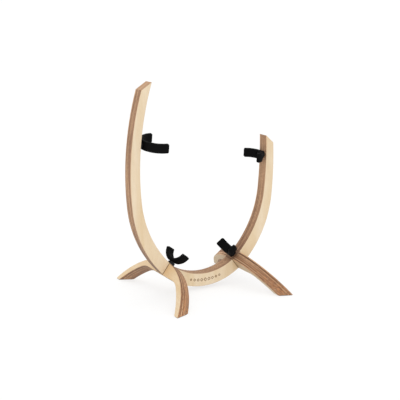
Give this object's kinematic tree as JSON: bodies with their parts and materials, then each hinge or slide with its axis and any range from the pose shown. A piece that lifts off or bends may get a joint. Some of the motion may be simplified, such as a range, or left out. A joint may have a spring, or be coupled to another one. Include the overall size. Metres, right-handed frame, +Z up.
{
  "type": "instrument stand",
  "caption": "Floor stand for a solid-body guitar: U-shaped plywood bow on crescent legs, with padded swivelling yokes that hold the body's edge.",
  "frame": {"origin": "on the floor, below the middle of the bow board", "axes": "+X to the right arm (the short one), +Y to the back, +Z up"},
  "size_m": [0.3895, 0.3262, 0.509],
  "materials": {
    "bow_ply": "birch plywood, oiled, light veneer faces and layered brown edges",
    "leg_ply": "birch plywood, oiled, light veneer faces and layered brown edges",
    "zinc_screw": "zinc-plated",
    "pad_rubber": "matt",
    "insert_brass": "turned",
    "black_steel": "black zinc, satin",
    "collar_plastic": "moulded, semi-gloss",
    "nylon": "natural nylon",
    "bar_steel": "black phosphate, slightly rubbed at the hub",
    "cover_rubber": "matt foam rubber"
  },
  "bodies": {
    "stand": {"bow_frame": "bow_ply", "left_leg": "leg_ply", "right_leg": "leg_ply", "leg_joint_screws": "zinc_screw", "left_front_foot_pad": "pad_rubber", "left_rear_foot_pad": "pad_rubber", "right_front_foot_pad": "pad_rubber", "right_rear_foot_pad": "pad_rubber", "stud_inserts": "insert_brass", "upper_left_stud": "black_steel", "upper_right_stud": "black_steel", "lower_left_stud": "black_steel", "lower_right_stud": "black_steel", "upper_left_collar": "collar_plastic", "upper_right_collar": "collar_plastic", "lower_left_collar": "collar_plastic", "lower_right_collar": "collar_plastic", "upper_left_washer": "nylon", "upper_right_washer": "nylon", "lower_left_washer": "nylon", "lower_right_washer": "nylon"},
    "upper_left_yoke": {"upper_left_yoke_bar": "bar_steel", "upper_left_yoke_cover": "cover_rubber"},
    "upper_right_yoke": {"upper_right_yoke_bar": "bar_steel", "upper_right_yoke_cover": "cover_rubber"},
    "lower_left_yoke": {"lower_left_yoke_bar": "bar_steel", "lower_left_yoke_cover": "cover_rubber"},
    "lower_right_yoke": {"lower_right_yoke_bar": "bar_steel", "lower_right_yoke_cover": "cover_rubber"}
  },
  "joints": [
    {"name": "upper_left_swivel", "type": "hinge", "parent": "stand", "child": "upper_left_yoke", "pos_m": [-0.16794, 0, 0.367], "axis": [1, 0, 0], "range_deg": [-90, 90]},
    {"name": "upper_right_swivel", "type": "hinge", "parent": "stand", "child": "upper_right_yoke", "pos_m": [0.17257, 0, 0.3155], "axis": [-1, 0, 0], "range_deg": [-90, 90]},
    {"name": "lower_left_swivel", "type": "hinge", "parent": "stand", "child": "lower_left_yoke", "pos_m": [-0.08757, 0, 0.07064], "axis": [0.6018, 0, 0.7986], "range_deg": [-90, 90]},
    {"name": "lower_right_swivel", "type": "hinge", "parent": "stand", "child": "lower_right_yoke", "pos_m": [0.08757, 0, 0.07064], "axis": [-0.6018, 0, 0.7986], "range_deg": [-90, 90]}
  ]
}
